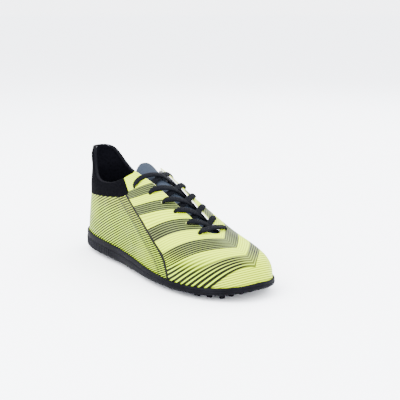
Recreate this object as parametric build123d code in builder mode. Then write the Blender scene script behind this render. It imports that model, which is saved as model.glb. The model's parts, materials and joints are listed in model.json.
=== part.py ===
"""Turf football boot, right foot: a knitted-collar boot with a printed one-piece upper,
laced over a separate tongue, on a black rubber cupsole with small turf nubs.

Millimetres. +X points to the toe, +Z up, +Y to the medial side (the inside of the foot).
The origin lies on the ground under the middle of the outsole's bounding box.
"""
from build123d import *
import math
import os

import numpy as np

# ---------------------------------------------------------------- driving dimensions
UPPER_LENGTH = 284.0          # heel to toe along the feather line
HALF_LENGTH = UPPER_LENGTH / 2
SHAFT_TOP = 122.0             # the forms run up to here before the topline is cut
SHAFT_FRONT = -76.0           # plane between the shaft's level sections and the upright ones
SHAFT_STEP = 0.08             # the shaft's sections sit this much inside, for a clean joint
SHAFT_OVERLAP = 0.3           # and run this far into the upright ones
FORM_BOTTOM = 3.0

UPPER_SKIN = 1.3              # printed skin, and the collar's knit
STIFFENER = (1.4, 2.2)        # depths under the outside of puff, counter and eyestay backings
LINING = (2.3, 3.0)
COLLAR_FOAM = (1.4, 4.4)
COLLAR_LINING = (4.5, 5.1)
SOCK_INSET = 3.2
BINDING = (-0.7, 5.9)         # the rim binding wraps over the collar's edge
BINDING_SLOT = (-0.1, 5.2)
BINDING_DROP = 4.5            # how far it reaches down each side
BINDING_TOP = 0.8

BOARD_DROP = 4.5              # underside of the strobel board, below the feather line
BOARD = 1.2
SOCK_FOAM = 4.0
SOCK_COVER = 0.6
STITCH_DEPTH = 0.8            # the overlock band under the edge of the board
STITCH = (0.2, 2.2)
PLAY = 0.05                   # glue line between stacked layers

SOLE_FLOOR = 2.0              # outsole thickness between the nubs
SOLE_FLARE = 2.5              # sidewall stands this far outside the feather line
WELL_PLAY = 0.5               # between the cup and the upper that sits in it
NUB_SETBACK = 5.0             # the nubs keep this far inside the feather line
NUB_HEIGHT = 4.5
NUB_RADIUS = 3.3
NUB_TIP_RADIUS = 2.5
NUB_PITCH_X = 12.2
NUB_PITCH_Y = 11.6

TONGUE_SKIN = 0.9
TONGUE_FOAM = 3.0
TONGUE_LINING = 0.7
TONGUE_GAP = 0.15             # between its three layers

EYELET_RADIUS = 2.6
EYELET_SETBACK = 8.0          # from the throat edge to the middle of an eyelet
EYELET_X = [76.6, 60.0, 43.0, 26.0, 7.0, -20.0]
LACE_RADIUS = 1.4
TAIL_RADIUS = 1.4
AGLET_RADIUS = 1.75
AGLET_LENGTH = 18.0
THROAT_END = 84.0
BACKING_SHOW = 1.2            # the eyestay backings stand this far into the throat
BACKING_WIDTH = 15.0
PUFF_START = 100.0            # the toe puff is ahead of this, the heel counter behind the next
COUNTER_END = -80.0
COUNTER_TOP = 66.0

# ---------------------------------------------------------------- the last, by stations
# Stations run round the footprint: x = -HALF_LENGTH * cos(station), so that heel and toe are round.
STATIONS = np.radians([0, 15, 30, 45, 60, 75, 90, 105, 120, 135, 150, 165, 180])
HALF_WIDTH = [0, 14.5, 26.5, 32.5, 34, 33.5, 38, 46, 50.5, 48, 37, 20.5, 0]
CENTRE_Y = [0, 0, 0, -1, -3, -5.5, -6.5, -4, 0, 3, 4.5, 5, 5]
FEATHER_Z = [25, 24.5, 24, 23, 22, 20.5, 18.5, 15.5, 13, 13, 14, 16, 18]
RISE = [114, 114, 114, 113, 108, 98, 84, 66, 48.5, 37, 28.5, 18, 0]
FULLNESS = [2.4, 2.4, 2.4, 2.4, 2.35, 2.35, 2.35, 2.3, 2.3, 2.35, 2.4, 2.4, 2.4]
UNDERSIDE_Z = [6.5, 5.5, 4.5, 4.5, 4.5, 4.5, 4.5, 4.5, 4.5, 5, 6.5, 8.5, 10]

# The back of the heel leans in above the counter and flares out again at the pull tab.
HEEL_Z = [0, 25, 45, 60, 75, 88, 98, 107, 114, 121, 140]
HEEL_IN = [0, 0, 3, 5, 7.5, 8, 7, 2.5, -0.5, -1, -1]

# Side view curves, as (x, z) points.
TOPLINE = [(-146, 112), (-138, 119), (-134, 120.5), (-129, 117), (-124, 111), (-117, 102),
           (-107, 93), (-94, 88), (-78, 87.5), (-62, 90), (-50, 94), (-44, 97), (-30, 105)]
COLLAR_EDGE = [(-150, 69), (-107, 71), (-75, 74), (-38, 79), (-28.5, 84.5), (-44, 97.5)]
# Half width of the throat along the foot, as (x, half width).
THROAT = [(-75, 18), (-42, 18), (-22, 17), (18, 13.5), (48, 10.5), (70, 9), (THROAT_END, 9)]

# The tongue: how deep its face lies under the outside form, and its half width.
TONGUE_X = [-42, -36, -28, -15, 8, 30, 50, 68, 82, 90]
TONGUE_DEPTH = [4.8, 5.4, 6.8, 7.4, 7.4, 7.4, 7.4, 7.4, 7.2, 7.0]
TONGUE_HALF = [11, 16.5, 19, 20, 21, 20, 18.5, 16.5, 14, 12]

# Lace: how it crosses the throat, in heights over the tongue and over the eyestays.
CROSS_LOW = 4.0
CROSS_HIGH = 7.4
OVER_EDGE = 2.4
INSIDE_DEPTH = 4.65
BEND_RADIUS = 1.6


def smooth(values, station, knots=STATIONS):
    """Cubic through the values at the knots, with the slope taken from the neighbours."""
    v = np.array(values, float)
    k = np.array(knots, float)
    slope = np.gradient(v, k)
    s = np.clip(np.asarray(station, float), k[0], k[-1])
    i = np.clip(np.searchsorted(k, s, side="right") - 1, 0, len(k) - 2)
    h = k[i + 1] - k[i]
    t = (s - k[i]) / h
    rise = (-2 * t**3 + 3 * t**2) * (v[i + 1] - v[i])
    return v[i] + rise + h * ((t**3 - 2 * t**2 + t) * slope[i] + (t**3 - t**2) * slope[i + 1])


def station_at(x):
    return np.arccos(np.clip(-np.asarray(x, float) / HALF_LENGTH, -1, 1))


def lean(x, z):
    """How far the back of the shaft leans forward at a height, fading out along the foot."""
    fade = np.clip((SHAFT_FRONT - np.asarray(x, float)) / (SHAFT_FRONT + HALF_LENGTH), 0, 1) ** 1.3
    return smooth(HEEL_IN, z, HEEL_Z) * fade


def footprint(station, inset):
    """Distance along and half width of the feather line, moved inward by inset."""
    step = 1e-4
    s = np.asarray(station, float)
    near = np.clip(s - step, 0, math.pi)
    far = np.clip(s + step, 0, math.pi)
    dx = -HALF_LENGTH * (np.cos(far) - np.cos(near))
    dw = smooth(HALF_WIDTH, far) - smooth(HALF_WIDTH, near)
    size = np.hypot(dx, dw)
    return (-HALF_LENGTH * np.cos(s) + inset * dw / size, smooth(HALF_WIDTH, s) - inset * dx / size)


def rise_at(station, inset):
    full = smooth(RISE, station)
    return full * (1 - inset / np.maximum(full, 12.0))


def section_at(station, inset):
    """Half width, rise, feather height, centre line and fullness of the form at a station."""
    x, w = footprint(station, inset)
    return (float(x), float(w), float(rise_at(station, inset)), float(smooth(FEATHER_Z, station)),
            float(smooth(CENTRE_Y, station)), float(smooth(FULLNESS, station)))


def station_of_plane(x, inset):
    """The station whose inset footprint crosses a plane across the foot."""
    table = np.linspace(0.2, 2.0, 400)
    return float(np.interp(x, footprint(table, inset)[0], table))


def wall_half_width(station, inset, z):
    x, w, rise, feather, centre, n = section_at(station, inset)
    up = min(max((z - feather) / rise, 0), 1)
    return w * (1 - up**n) ** (1 / n)


def arch_points(station, inset):
    """The arch of the form at a station: up one wall, over the instep and down the other."""
    x, w, rise, feather, centre, n = section_at(station, inset)
    walls = [FORM_BOTTOM, (FORM_BOTTOM + feather) / 2]
    points = [(centre - w, z) for z in walls]
    for angle in np.linspace(0, math.pi, 17):
        across = abs(math.cos(angle)) ** (2 / n)
        up = math.sin(angle) ** (2 / n)
        points.append((centre - math.copysign(w * across, math.cos(angle)), feather + rise * up))
    return points + [(centre + w, z) for z in reversed(walls)]


def surface_z(x, y, depth):
    """Height of the form at (x, y), at a depth under the outside, from the instep to the toe."""
    s = station_at(x)
    n = smooth(FULLNESS, s)
    across = np.abs(y - smooth(CENTRE_Y, s)) / (smooth(HALF_WIDTH, s) - depth)
    return float(smooth(FEATHER_Z, s) + rise_at(s, depth) * (1 - np.clip(across, 0, 1) ** n) ** (1 / n))


def surface_normal(x, y):
    step = 0.2
    dx = (surface_z(x + step, y, 0) - surface_z(x - step, y, 0)) / (2 * step)
    dy = (surface_z(x, y + step, 0) - surface_z(x, y - step, 0)) / (2 * step)
    return Vector(-dx, -dy, 1).normalized()


def spacing(points):
    """Spline parameters in step with the distances between points, from 0 to 1."""
    steps = np.hypot(*np.diff(np.array(points, float), axis=0).T)
    return [0.0] + [float(v) for v in np.cumsum(steps) / steps.sum()]


def matched_spline(points, parameters):
    """A spline with given parameters: sections that share them loft into a light, even surface."""
    add(Edge.make_spline([Vector(*point) for point in points], parameters=parameters))


def front_form(inset):
    """The forefoot and instep of the form, through upright sections."""
    first = station_of_plane(SHAFT_FRONT, inset)
    parameters = spacing(arch_points(math.pi / 2, 0))
    with BuildPart() as form:
        for station in [first] + list(np.radians([66, 79, 92, 105, 118, 130, 141, 151, 160, 168, 175])):
            x = section_at(station, inset)[0]
            points = arch_points(station, inset)
            with BuildSketch(Plane(origin=(x, 0, 0), x_dir=(0, 1, 0), z_dir=(1, 0, 0))):
                with BuildLine():
                    matched_spline(points, parameters)
                    Line(points[-1], points[0])
                make_face()
        loft()
    return form.part


def shaft_points(inset, z):
    """The level outline of the heel and shaft at a height, open towards the front."""
    last = station_of_plane(SHAFT_FRONT + SHAFT_OVERLAP, inset)
    points = []
    for s in last * np.sin(np.linspace(-math.pi / 2, math.pi / 2, 15)):
        x = section_at(abs(s), inset)[0]
        y = math.copysign(wall_half_width(abs(s), inset, z), s)
        points.append((float(x + lean(x, z)), y + section_at(abs(s), inset)[4]))
    return points


def heel_form(inset):
    """The heel and shaft of the form, through level sections."""
    parameters = spacing(shaft_points(0, FORM_BOTTOM))
    with BuildPart() as form:
        for z in [FORM_BOTTOM, 14, 27, 40, 54, 68, 80, 90, 100, 108, 115, SHAFT_TOP]:
            points = shaft_points(inset, z)
            with BuildSketch(Plane.XY.offset(z)):
                with BuildLine():
                    matched_spline(points, parameters)
                    Line(points[-1], points[0])
                make_face()
        loft()
    return form.part


def last_form(inset):
    """The solid shape of the foot at a distance inside the outside of the upper."""
    with BuildPart() as form:
        add(front_form(inset))
        add(heel_form(inset + SHAFT_STEP))
    return form.part


def slab(bottom, top):
    """Everything between two side view curves over the whole length of the boot."""
    with BuildPart() as body:
        with BuildSketch(Plane.XZ):
            with BuildLine():
                Spline(bottom)
                Line(bottom[-1], top[-1])
                Spline(top)
                Line(top[0], bottom[0])
            make_face()
        extrude(amount=90, both=True)
    return body.part


def sole_line(values, shift):
    """A side view curve that follows the sole's stations, run out past the heel and toe."""
    angles = np.radians([0, 22, 38, 52, 66, 78, 90, 102, 115, 128, 142, 158, 180])
    run = [(float(-HALF_LENGTH * math.cos(s)), float(smooth(values, s)) + shift) for s in angles]
    return [(run[0][0] - 12, run[0][1] + 0.2)] + run + [(run[-1][0] + 12, run[-1][1] + 1.4)]


def level(z):
    return [(-160, z), (0, z), (160, z)]


def band(low, high):
    """A layer of the sole stack, given by heights above the underside of the strobel board."""
    return slab(sole_line(FEATHER_Z, low - BOARD_DROP), sole_line(FEATHER_Z, high - BOARD_DROP))


def throat_half(x):
    return float(np.interp(x, [a for a, _ in THROAT], [b for _, b in THROAT]))


def centre_at(x):
    return float(smooth(CENTRE_Y, station_at(x)))


def throat_cut(widen):
    """The long opening over the instep, with a round front end."""
    xs = [-75, -50, -22, 0, 25, 50, 70, THROAT_END - 9]
    end_half = throat_half(THROAT_END) + widen
    with BuildPart() as cut:
        with BuildSketch(Plane.XY.offset(46)):
            with BuildLine():
                Spline([(x, centre_at(x) - throat_half(x) - widen) for x in xs])
                Spline([(x, centre_at(x) + throat_half(x) + widen) for x in xs])
                Line((xs[0], centre_at(xs[0]) - throat_half(xs[0]) - widen),
                     (xs[0], centre_at(xs[0]) + throat_half(xs[0]) + widen))
                y = centre_at(xs[-1])
                ThreePointArc((xs[-1], y - end_half), (xs[-1] + end_half, y), (xs[-1], y + end_half))
            make_face()
        extrude(amount=120)
    return cut.part


def side_region(points, half=90):
    """A straight-edged side view region, run across the whole width."""
    with BuildPart() as region:
        with BuildSketch(Plane.XZ):
            with BuildLine():
                Polyline(points, close=True)
            make_face()
        extrude(amount=half, both=True)
    return region.part


def above_topline(raise_by):
    with BuildPart() as region:
        with BuildSketch(Plane.XZ):
            with BuildLine():
                rim = [(x, z + raise_by) for x, z in TOPLINE]
                Spline(rim)
                Polyline([rim[-1], (rim[-1][0], 180), (-175, 180), (-175, rim[0][1] - 40), rim[0]])
            make_face()
        extrude(amount=90, both=True)
    return region.part


# ---------------------------------------------------------------- nested forms and cutting regions
form = {}
for depth in [0.0, UPPER_SKIN, *STIFFENER, *LINING, *COLLAR_FOAM, *COLLAR_LINING, *BINDING,
              *BINDING_SLOT, *STITCH, SOCK_INSET]:
    if depth not in form:
        form[depth] = last_form(depth)


def layer(depths):
    """The skin between two depths of the form."""
    with BuildPart() as skin:
        add(form[depths[0]])
        add(form[depths[1]], mode=Mode.SUBTRACT)
    return skin.part


def clipped(body, region):
    with BuildPart() as result:
        add(body)
        add(region, mode=Mode.INTERSECT)
    return result.part


above_board = slab(sole_line(FEATHER_Z, -BOARD_DROP), level(190))
above_insole = slab(sole_line(FEATHER_Z, -BOARD_DROP + BOARD + PLAY), level(190))
over_rim = above_topline(0)
throat = throat_cut(0)
throat_narrow = throat_cut(-BACKING_SHOW)
collar_zone = side_region(COLLAR_EDGE + [(-47, 180), (-175, 180), (-175, 69)])
counter_zone = side_region([(-175, 0), (COUNTER_END + 12, 0), (COUNTER_END, COUNTER_TOP), (-175, COUNTER_TOP)])
toe_zone = side_region([(PUFF_START, 0), (175, 0), (175, 90), (PUFF_START, 90)])

# ---------------------------------------------------------------- eyelets
eyelets = {}
for side in (-1, 1):
    for row, x in enumerate(EYELET_X):
        y = centre_at(x) + side * (throat_half(x) + EYELET_SETBACK)
        eyelets[side, row] = (Vector(x, y, surface_z(x, y, 0)), surface_normal(x, y))

with BuildPart() as eyelet_holes:
    for point, outward in eyelets.values():
        with Locations(Plane(origin=point, z_dir=outward)):
            Cylinder(radius=EYELET_RADIUS, height=14)


def save(part, name):
    part.label = name
    export_step(part, "parts/" + name + ".step")
    print(name, "volume", round(part.volume), "solids", len(part.solids()), "valid", part.is_valid)


os.makedirs("parts", exist_ok=True)


# ---------------------------------------------------------------- outsole
def sole_outline(inset):
    """The footprint round both sides, moved inward by inset."""
    stations = np.linspace(0, math.pi, 25)
    outline = []
    for side, angles in ((-1, stations), (1, stations[-2:0:-1])):
        for s in angles:
            x, w = footprint(s, inset)
            outline.append(Vector(float(x), float(smooth(CENTRE_Y, s)) + side * max(float(w), 0)))
    return outline


def sole_block(inset, bottom, top):
    """The footprint, moved inward by inset, between two side view curves."""
    outline = sole_outline(inset)
    lateral = len(outline) // 4
    medial = 3 * lateral
    lateral_way = outline[lateral + 1] - outline[lateral - 1]
    medial_way = outline[medial + 1] - outline[medial - 1]
    with BuildPart() as block:
        with BuildSketch(Plane.XY):
            with BuildLine():
                Spline(outline[lateral:medial + 1], tangents=[lateral_way, medial_way])
                Spline(outline[medial:] + outline[:lateral + 1], tangents=[medial_way, lateral_way])
            make_face()
        extrude(amount=70)
        add(slab(bottom, top), mode=Mode.INTERSECT)
    return block.part


nub_places = []
for column in range(-10, 11):
    for row in range(-5, 6):
        x = column * NUB_PITCH_X
        y = (row + 0.5 * (column % 2)) * NUB_PITCH_Y
        reach = float(footprint(station_at(x), NUB_SETBACK)[1]) - NUB_RADIUS - 0.6
        if abs(y - centre_at(x)) < reach:
            low = float(smooth(UNDERSIDE_Z, station_at(x))) - NUB_HEIGHT
            nub_places.append((x, y, max(low, 0)))

with BuildPart() as outsole:
    add(sole_block(-SOLE_FLARE, sole_line(UNDERSIDE_Z, 0), sole_line(FEATHER_Z, 0)))
    add(sole_block(-WELL_PLAY, sole_line(UNDERSIDE_Z, SOLE_FLOOR), level(60)), mode=Mode.SUBTRACT)
    with Locations(nub_places):
        Cone(NUB_TIP_RADIUS, NUB_RADIUS, NUB_HEIGHT + 0.8, align=(Align.CENTER, Align.CENTER, Align.MIN))
save(outsole.part, "outsole")

# ---------------------------------------------------------------- layers under the foot
with BuildPart() as strobel_stitch:
    add(layer(STITCH))
    add(band(-STITCH_DEPTH - PLAY, -PLAY), mode=Mode.INTERSECT)
save(strobel_stitch.part, "strobel_stitch")

with BuildPart() as midsole:
    add(form[LINING[0]])
    add(slab(sole_line(UNDERSIDE_Z, SOLE_FLOOR + PLAY), sole_line(FEATHER_Z, -BOARD_DROP - PLAY)),
        mode=Mode.INTERSECT)
save(midsole.part, "midsole")

with BuildPart() as strobel_board:
    add(form[STIFFENER[0]])
    add(band(0, BOARD), mode=Mode.INTERSECT)
save(strobel_board.part, "strobel_board")

with BuildPart() as sockliner_foam:
    add(form[SOCK_INSET])
    add(band(BOARD + PLAY, BOARD + SOCK_FOAM), mode=Mode.INTERSECT)
save(sockliner_foam.part, "sockliner_foam")

with BuildPart() as sockliner_cover:
    add(form[SOCK_INSET])
    add(band(BOARD + SOCK_FOAM + PLAY, BOARD + SOCK_FOAM + SOCK_COVER), mode=Mode.INTERSECT)
save(sockliner_cover.part, "sockliner_cover")

# ---------------------------------------------------------------- upper and what stiffens it
with BuildPart() as upper:
    add(layer((0.0, UPPER_SKIN)))
    add(above_board, mode=Mode.INTERSECT)
    add(over_rim, mode=Mode.SUBTRACT)
    add(collar_zone, mode=Mode.SUBTRACT)
    add(throat, mode=Mode.SUBTRACT)
    add(eyelet_holes.part, mode=Mode.SUBTRACT)
save(upper.part, "upper")

with BuildPart() as upper_lining:
    add(layer(LINING))
    add(above_insole, mode=Mode.INTERSECT)
    add(over_rim, mode=Mode.SUBTRACT)
    add(collar_zone, mode=Mode.SUBTRACT)
    add(throat, mode=Mode.SUBTRACT)
    add(eyelet_holes.part, mode=Mode.SUBTRACT)
save(upper_lining.part, "upper_lining")

stiffener_skin = clipped(layer(STIFFENER), above_insole)
save(clipped(stiffener_skin, toe_zone), "toe_puff")
save(clipped(stiffener_skin, counter_zone), "heel_counter")

for side, name in ((-1, "eyestay_backing_lateral"), (1, "eyestay_backing_medial")):
    with BuildPart() as stay_zone:
        with BuildSketch(Plane.XY.offset(46)):
            with BuildLine():
                edge = [(x, centre_at(x) + side * (throat_half(x) + BACKING_WIDTH)) for x in (-27, -5, 30, 60, 76)]
                Spline(edge)
                Polyline([edge[-1], (76, centre_at(76)), (-27, centre_at(-27)), edge[0]])
            make_face()
        extrude(amount=90)
    with BuildPart() as backing:
        add(clipped(stiffener_skin, stay_zone.part))
        add(throat_narrow, mode=Mode.SUBTRACT)
        add(over_rim, mode=Mode.SUBTRACT)
        add(eyelet_holes.part, mode=Mode.SUBTRACT)
    save(backing.part, name)

# ---------------------------------------------------------------- collar
with BuildPart() as collar:
    add(layer((0.0, UPPER_SKIN)))
    add(collar_zone, mode=Mode.INTERSECT)
    add(over_rim, mode=Mode.SUBTRACT)
save(collar.part, "collar")

with BuildPart() as collar_foam:
    add(layer(COLLAR_FOAM))
    add(collar_zone, mode=Mode.INTERSECT)
    add(above_topline(-0.4), mode=Mode.SUBTRACT)
save(collar_foam.part, "collar_foam")

with BuildPart() as collar_lining:
    add(layer(COLLAR_LINING))
    add(collar_zone, mode=Mode.INTERSECT)
    add(over_rim, mode=Mode.SUBTRACT)
save(collar_lining.part, "collar_lining")

slot = clipped(layer(BINDING_SLOT), collar_zone)
with BuildPart() as rim_slot:
    add(slot)
    add(above_topline(PLAY), mode=Mode.SUBTRACT)
with BuildPart() as collar_binding:
    add(clipped(layer(BINDING), above_topline(-BINDING_DROP)))
    add(above_topline(BINDING_TOP), mode=Mode.SUBTRACT)
    add(collar_zone, mode=Mode.INTERSECT)
    add(rim_slot.part, mode=Mode.SUBTRACT)
save(collar_binding.part, "collar_binding")


# ---------------------------------------------------------------- tongue
def tongue_layer(top, bottom, trim):
    """A slice of the tongue between two depths under its face, drawn in by trim."""
    parameters = list(np.linspace(0, 1, 9))
    with BuildPart() as piece:
        for x, depth, half in zip(TONGUE_X, TONGUE_DEPTH, TONGUE_HALF):
            ys = np.linspace(-1, 1, 9) * (half - trim) + centre_at(x)
            face = [(float(y), surface_z(x, y, depth + top)) for y in ys]
            back = [(float(y), surface_z(x, y, depth + bottom)) for y in ys]
            with BuildSketch(Plane(origin=(x, 0, 0), x_dir=(0, 1, 0), z_dir=(1, 0, 0))):
                with BuildLine():
                    matched_spline(face, parameters)
                    Line(face[-1], back[-1])
                    matched_spline(back, parameters)
                    Line(back[0], face[0])
                make_face()
        loft()
    return piece.part


foam_top = TONGUE_SKIN + TONGUE_GAP
foam_bottom = foam_top + TONGUE_FOAM
save(tongue_layer(0, TONGUE_SKIN, 0), "tongue_outer")
save(tongue_layer(foam_top, foam_bottom, 1.0), "tongue_foam")
lining_top = foam_bottom + TONGUE_GAP
save(tongue_layer(lining_top, lining_top + TONGUE_LINING, 0.4), "tongue_lining")


# ---------------------------------------------------------------- lace
def beside_throat(x, side, setback, height):
    """A point beside the throat, at a height over the outside, or under it when negative."""
    y = centre_at(x) + side * (throat_half(x) + setback)
    return Vector(x, y, surface_z(x, y, 0)) + surface_normal(x, y) * height


def crossing(row, high):
    x = (EYELET_X[row] + EYELET_X[row + 1]) / 2
    depth = float(np.interp(x, TONGUE_X, TONGUE_DEPTH))
    lift = CROSS_HIGH if high else CROSS_LOW
    return Vector(x, centre_at(x), surface_z(x, centre_at(x), depth) + lift)


def strand(first_side):
    """One half of the lace, from inside the first eyelet up to inside the last."""
    points = []
    side = first_side
    for row in range(len(EYELET_X)):
        point, outward = eyelets[side, row]
        points += [point + outward * OVER_EDGE, point - outward * INSIDE_DEPTH]
        if row + 1 < len(EYELET_X):
            here = EYELET_X[row]
            there = EYELET_X[row + 1]
            points.append(beside_throat(here + 0.35 * (there - here), side, -1.5, -INSIDE_DEPTH))
            points.append(crossing(row, high=(side > 0)))
            side = -side
            points.append(beside_throat(here + 0.8 * (there - here), side, 1.0, OVER_EDGE))
    last = beside_throat(EYELET_X[-1] - 1.5, side, EYELET_SETBACK + 4.5, -INSIDE_DEPTH - 0.3)
    return points + [last]


def tube(points, radii, radius, name):
    with BuildPart() as cord:
        with BuildLine() as route:
            FilletPolyline(*points, radius=radii)
        with BuildSketch(Plane(origin=route.wire() @ 0, z_dir=route.wire() % 0)):
            Circle(radius)
        sweep()
    length = route.wire().length
    print(name, "length", round(length, 1), "volume ratio",
          round(cord.part.volume / (math.pi * radius**2 * length), 4))
    return cord.part


bar_ends = [beside_throat(EYELET_X[0] + 0.5, side, 1.0, OVER_EDGE) for side in (-1, 1)]
bar_top = [(bar_ends[0] + bar_ends[1]) / 2 + Vector(0.8, 0, 1.6)]
lace_points = list(reversed(strand(-1))) + [bar_ends[0]] + bar_top + [bar_ends[1]] + strand(1)
save(tube(lace_points, BEND_RADIUS, LACE_RADIUS, "lace"), "lace")


# ---------------------------------------------------------------- lace ends, tucked inside the boot
def loose_radii(points):
    """Arc radii for a loose cord: as large as the shorter run at each corner allows."""
    radii = []
    for before, here, after in zip(points, points[1:], points[2:]):
        arrive = here - before
        leave = after - here
        turn = math.radians(arrive.get_angle(leave))
        radii.append(0.45 * min(arrive.length, leave.length) / math.tan(turn / 2))
    return radii


tail_routes = {
    "lateral": [(-24, -31.5, 66), (-28, -31, 53), (-35, -28.2, 40.5), (-45, -23.5, 30.5), (-57, -19.6, 25.3),
                (-69.5, -18, 25.2), (-82, -18.2, 25.6), (-93, -19, 26), (-103, -18.9, 26.4),
                (-110.3, -16.2, 26.7), (-114.9, -10, 26.9), (-114.7, -2.4, 26.9), (-110, 3.4, 26.8),
                (-102.3, 5.2, 26.5), (-93, 2.6, 26.1), (-83.5, -2.8, 25.7), (-73.5, -7.3, 25.3),
                (-62.5, -9.2, 24.9)],
    "medial": [(-25, 19.5, 66), (-30, 19.8, 53), (-37, 19.2, 40.5), (-46.5, 19.6, 30.5), (-57, 20.9, 25.3),
               (-67.5, 21.6, 25.2), (-76, 20.3, 25.4), (-81.6, 15.2, 25.6), (-82.4, 8, 25.6),
               (-78.6, 2, 25.5), (-71.5, -0.2, 25.3), (-62, 1.2, 24.9), (-51.5, 4.2, 24.4), (-41, 7, 23.9),
               (-30.5, 8.3, 23.4), (-19.5, 7.4, 22.9), (-9, 4.6, 22.3)],
}
for name, end in (("lateral", lace_points[-1]), ("medial", lace_points[0])):
    route = [end] + [Vector(*point) for point in tail_routes[name]]
    radii = loose_radii(route)
    print(name, "tail radii", [round(r, 1) for r in radii])
    save(tube(route, radii, TAIL_RADIUS, "tail " + name), "lace_tail_" + name)
    tip = Plane(origin=route[-1], z_dir=route[-1] - route[-2])
    with BuildPart() as aglet:
        with Locations(tip):
            Cylinder(AGLET_RADIUS, AGLET_LENGTH, align=(Align.CENTER, Align.CENTER, Align.MIN))
        chamfer(aglet.faces().sort_by(Axis(origin=tip.origin, direction=tip.z_dir))[-1].edges(), 0.5)
    save(aglet.part, "aglet_" + name)
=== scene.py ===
"""Looks of a turf football boot, right foot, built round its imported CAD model.

The shape tables are the boot's own last, in millimetres; meshes are scaled to metres as they are made.
+X points to the toe, +Z up, +Y to the medial side.
"""

import json
import math

import bmesh
import bpy
import numpy as np
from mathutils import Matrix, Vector


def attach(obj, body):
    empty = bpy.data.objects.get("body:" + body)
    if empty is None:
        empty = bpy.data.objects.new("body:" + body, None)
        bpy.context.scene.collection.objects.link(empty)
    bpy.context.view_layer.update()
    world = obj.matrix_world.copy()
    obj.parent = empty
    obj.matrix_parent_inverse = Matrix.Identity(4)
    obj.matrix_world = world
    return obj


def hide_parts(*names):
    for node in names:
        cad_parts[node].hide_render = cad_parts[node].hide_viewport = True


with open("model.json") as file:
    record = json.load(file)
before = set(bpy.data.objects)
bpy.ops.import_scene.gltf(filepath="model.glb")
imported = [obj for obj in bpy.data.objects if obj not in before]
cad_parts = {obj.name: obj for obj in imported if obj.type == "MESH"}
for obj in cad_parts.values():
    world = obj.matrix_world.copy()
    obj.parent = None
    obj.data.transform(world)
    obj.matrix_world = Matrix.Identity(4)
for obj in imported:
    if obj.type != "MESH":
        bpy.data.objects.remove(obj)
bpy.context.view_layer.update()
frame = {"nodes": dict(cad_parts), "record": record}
MM = 0.001

# ------------------------------------------------------------------ camera
CAMERA_AZIMUTH = math.radians(54)
CAMERA_ELEVATION = math.radians(14)
CAMERA_DISTANCE = 0.965
CAMERA_TARGET = Vector((0, 0, 0.040))

camera = bpy.data.objects.new("camera", bpy.data.cameras.new("camera"))
bpy.context.scene.collection.objects.link(camera)
camera.data.sensor_width = 36
camera.data.lens = 79.3
camera.data.shift_x = 0.0795
camera.data.shift_y = 0.082
view_back = Vector((math.sin(CAMERA_AZIMUTH) * math.cos(CAMERA_ELEVATION),
                    -math.cos(CAMERA_AZIMUTH) * math.cos(CAMERA_ELEVATION),
                    math.sin(CAMERA_ELEVATION)))
camera.location = CAMERA_TARGET + view_back * CAMERA_DISTANCE
camera.rotation_euler = view_back.to_track_quat("Z", "Y").to_euler()
bpy.context.scene.camera = camera

# ------------------------------------------------------------------ the last, by stations
UPPER_LENGTH = 284.0
HALF_LENGTH = UPPER_LENGTH / 2
SHAFT_FRONT = -76.0
STATIONS = np.radians(np.arange(0, 181, 15))
HALF_WIDTH = [0, 14.5, 26.5, 32.5, 34, 33.5, 38, 46, 50.5, 48, 37, 20.5, 0]
CENTRE_Y = [0, 0, 0, -1, -3, -5.5, -6.5, -4, 0, 3, 4.5, 5, 5]
FEATHER_Z = [25, 24.5, 24, 23, 22, 20.5, 18.5, 15.5, 13, 13, 14, 16, 18]
RISE = [114, 114, 114, 113, 108, 98, 84, 66, 48.5, 37, 28.5, 18, 0]
FULLNESS = [2.4, 2.4, 2.4, 2.4, 2.35, 2.35, 2.35, 2.3, 2.3, 2.35, 2.4, 2.4, 2.4]
UNDERSIDE_Z = [6.5, 5.5, 4.5, 4.5, 4.5, 4.5, 4.5, 4.5, 4.5, 5, 6.5, 8.5, 10]
HEEL_Z = [0, 25, 45, 60, 75, 88, 98, 107, 114, 121, 140]
HEEL_IN = [0, 0, 3, 5, 7.5, 8, 7, 2.5, -0.5, -1, -1]
TOPLINE = [(-150, 120), (-143, 120.5), (-136, 120.5), (-129, 117), (-124, 111), (-117, 102),
           (-107, 93), (-94, 88), (-78, 87.5), (-62, 90), (-50, 94), (-44, 97), (-30, 105)]
COLLAR_EDGE = [(-150, 69), (-107, 71), (-75, 74), (-38, 79), (-28.5, 84.5), (-44, 97.5), (-47, 180)]
BEHIND_HEEL = [(-190, 180), (-190, 69)]
THROAT = [(-75, 18), (-42, 18), (-22, 17), (18, 13.5), (48, 10.5), (70, 9), (84, 9)]
THROAT_END = 84.0
THROAT_END_HALF = 9.0
TONGUE_X = [-42, -36, -28, -15, 8, 30, 50, 68, 82, 90]
TONGUE_DEPTH = [4.8, 5.4, 6.8, 7.4, 7.4, 7.4, 7.4, 7.4, 7.2, 7.0]
TONGUE_HALF = [11, 16.5, 19, 20, 21, 20, 18.5, 16.5, 14, 12]
LATERAL, MEDIAL = -1, 1
EYELET_X = [76.6, 60.0, 43.0, 26.0, 7.0, -20.0]
EYELET_SETBACK = 8.0
EYELET_RADIUS = 2.3
BOARD_DROP = 4.5


def smooth(values, at, knots=STATIONS):
    """Cubic through the values at the knots, with the slope taken from the neighbours."""
    v = np.array(values, float)
    k = np.array(knots, float)
    slope = np.gradient(v, k)
    s = np.clip(np.asarray(at, float), k[0], k[-1])
    i = np.clip(np.searchsorted(k, s, side="right") - 1, 0, len(k) - 2)
    h = k[i + 1] - k[i]
    t = (s - k[i]) / h
    rise = (-2 * t**3 + 3 * t**2) * (v[i + 1] - v[i])
    return v[i] + rise + h * ((t**3 - 2 * t**2 + t) * slope[i] + (t**3 - t**2) * slope[i + 1])


def along(points, x):
    """A side view curve's height at x."""
    return smooth([z for _, z in points], x, [a for a, _ in points])


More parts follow.
